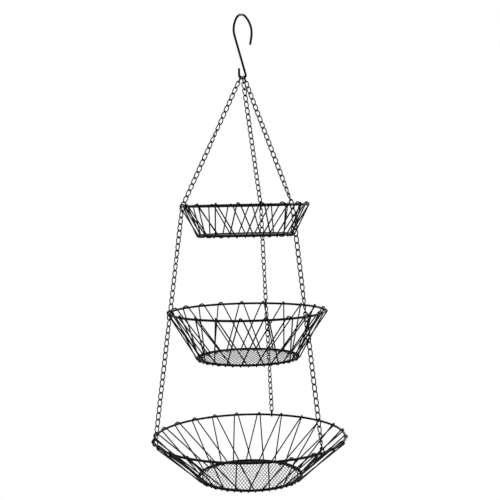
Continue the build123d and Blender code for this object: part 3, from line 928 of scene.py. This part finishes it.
class BASKET_OT_joining_links(bpy.types.Operator):
    """Plain oval links on the S-hook and round the rims"""

    bl_idname = "basket.joining_links"
    bl_label = "Joining links"

    def execute(self, context):
        shape, finish = context.scene.basket_shape, context.scene.basket_finish
        steel = coated_metal("Chain black", finish.chain_colour, finish.coat_roughness, link_end_distance,
                             LINK_RUB_SHARE)
        sections = chain_sections()
        end_links = []
        for side in CHAINS:
            start, end = sections[side + "_chain_upper"][1:3]
            axis = unit(start - end)
            end_links.append((start + axis * (SHORT_HALF - JOINT_HOLD), axis, 0))
        places = {"hook_end_links": (SHORT_HALF, end_links)}
        for name in BASKETS:
            spots = [(*rim_joint(name, azimuth), azimuth + 90) for azimuth in AZIMUTHS]
            places[name + "_rim_joining_links"] = RIM_JOINTS[name].half, spots
        for node, (half, spots) in places.items():
            loop = closed_loop([[0, 0, half], [-JOINT_BEND, 0, half], [-JOINT_BEND, 0, -half], [0, 0, -half]],
                               [JOINT_BEND, JOINT_BEND], shape.arc_steps)
            seam = shape.arc_steps + 1
            loop = np.insert(loop, seam, [-JOINT_BEND, 0, 0], axis=0)
            loop, factors = with_seam(loop, seam, shape.seam_width)
            parts = []
            for centre, axis, facing in spots:
                lines, flat = placed(loop, centre[None], axis, np.array([facing]))
                parts.append(tubes(lines, JOINT_WIRE / 2 * factors, flat, shape.joint_sides, True))
            add_piece(node + "_ovals", joined(parts), steel, node)
        return {"FINISHED"}


class BASKET_OT_hoops(bpy.types.Operator):
    """Rims and base rings, each a hoop closed by a butt weld"""

    bl_idname = "basket.hoops"
    bl_label = "Rims and base rings"

    def execute(self, context):
        shape, finish = context.scene.basket_shape, context.scene.basket_finish
        azimuth = np.linspace(0, 360, shape.hoop_steps, endpoint=False)
        for name, basket in BASKETS.items():
            rim_z = rim_heights[name]
            rub = rim_link_distance(basket.rim_radius, rim_z)
            rim_coat = coated_metal(name.capitalize() + " rim black", finish.coat_colour,
                                    finish.coat_roughness, rub, RIM_RUB_REACH)
            ring_coat = coated_metal("Base ring black", finish.coat_colour, finish.coat_roughness)
            for part, radius, height, wire, weld, coat in (
                ("rim", basket.rim_radius, rim_z, RIM_WIRE, RIM_WELD, rim_coat),
                ("base_ring", basket.ring_radius, rim_z - basket.depth, RING_WIRE, RING_WELD, ring_coat),
            ):
                way = np.radians(np.abs((azimuth - weld + 180) % 360 - 180)) * radius
                sizes = wire / 2 * (1 + BEAD_SHARE * np.exp(-(way / shape.bead_width) ** 2))
                surface = tubes(polar(azimuth, radius, height)[None], sizes, UPWARDS, shape.hoop_sides, True)
                add_piece(f"{name}_{part}_hoop", surface, coat, f"{name}_{part}")
        return {"FINISHED"}


class BASKET_OT_side_wires(bpy.types.Operator):
    """Bent side wires, looped over the rims and turned under the base rings"""

    bl_idname = "basket.side_wires"
    bl_label = "Side wires"

    def execute(self, context):
        shape, finish = context.scene.basket_shape, context.scene.basket_finish
        coat = coated_metal("Side wire black", finish.coat_colour, finish.coat_roughness)
        for name in BASKETS:
            lines, across = side_wire_lines(name, shape.arc_steps)
            lines, sizes = with_ends(lines, SIDE_WIRE / 2, CUT_END_SHARE)
            third = len(lines) // len(SECTORS)
            for number, sector in enumerate(SECTORS):
                group = slice(number * third, (number + 1) * third)
                surface = tubes(lines[group], sizes, across[group], shape.wire_sides, False)
                add_piece(f"{name}_side_wires_{sector}_bent", surface, coat, f"{name}_side_wires_{sector}")
        return {"FINISHED"}


class BASKET_OT_floors(bpy.types.Operator):
    """Woven floors of fine wire, each with a hem wire"""

    bl_idname = "basket.floors"
    bl_label = "Woven floors"

    def execute(self, context):
        shape, finish = context.scene.basket_shape, context.scene.basket_finish
        roughness = finish.coat_roughness + MESH_EXTRA_ROUGHNESS
        coat = coated_metal("Mesh dark grey", finish.mesh_colour, roughness)
        for name in BASKETS:
            add_piece(name + "_floor_net_woven", woven_floor(name, shape), coat, name + "_floor_net")
        return {"FINISHED"}


class BASKET_OT_stage(bpy.types.Operator):
    """Pale floor, soft lights, white surroundings and the camera"""

    bl_idname = "basket.stage"
    bl_label = "Stage"

    def execute(self, context):
        stage = context.scene.basket_stage
        context.scene.view_settings.view_transform = "Standard"
        add_floor(stage)
        add_surroundings(stage)
        add_lamps(stage)
        add_camera(stage)
        return {"FINISHED"}


OPERATORS = (BASKET_OT_hook, BASKET_OT_chains, BASKET_OT_joining_links, BASKET_OT_hoops, BASKET_OT_side_wires,
             BASKET_OT_floors, BASKET_OT_stage)


class BASKET_PT_panel(bpy.types.Panel):
    """Settings and builders of the basket"""

    bl_idname = "BASKET_PT_panel"
    bl_label = "Hanging basket"
    bl_space_type = "VIEW_3D"
    bl_region_type = "UI"
    bl_category = "Basket"

    def draw(self, context):
        for settings in (context.scene.basket_shape, context.scene.basket_finish, context.scene.basket_stage):
            box = self.layout.box()
            for name in settings.bl_rna.properties.keys():
                if name not in ("rna_type", "name"):
                    box.prop(settings, name)
        for operator in OPERATORS:
            self.layout.operator(operator.bl_idname)


CLASSES = (BasketShape, BasketFinish, BasketStage, *OPERATORS, BASKET_PT_panel)


def register():
    """Adds the classes and the settings."""
    for item in CLASSES:
        bpy.utils.register_class(item)
    bpy.types.Scene.basket_shape = bpy.props.PointerProperty(type=BasketShape)
    bpy.types.Scene.basket_finish = bpy.props.PointerProperty(type=BasketFinish)
    bpy.types.Scene.basket_stage = bpy.props.PointerProperty(type=BasketStage)


def unregister():
    """Takes the settings and the classes away."""
    del bpy.types.Scene.basket_stage
    del bpy.types.Scene.basket_finish
    del bpy.types.Scene.basket_shape
    for item in reversed(CLASSES):
        bpy.utils.unregister_class(item)


def main():
    register()
    for operator in OPERATORS:
        group, name = operator.bl_idname.split(".")
        getattr(getattr(bpy.ops, group), name)()


if __name__ == "__main__":
    main()
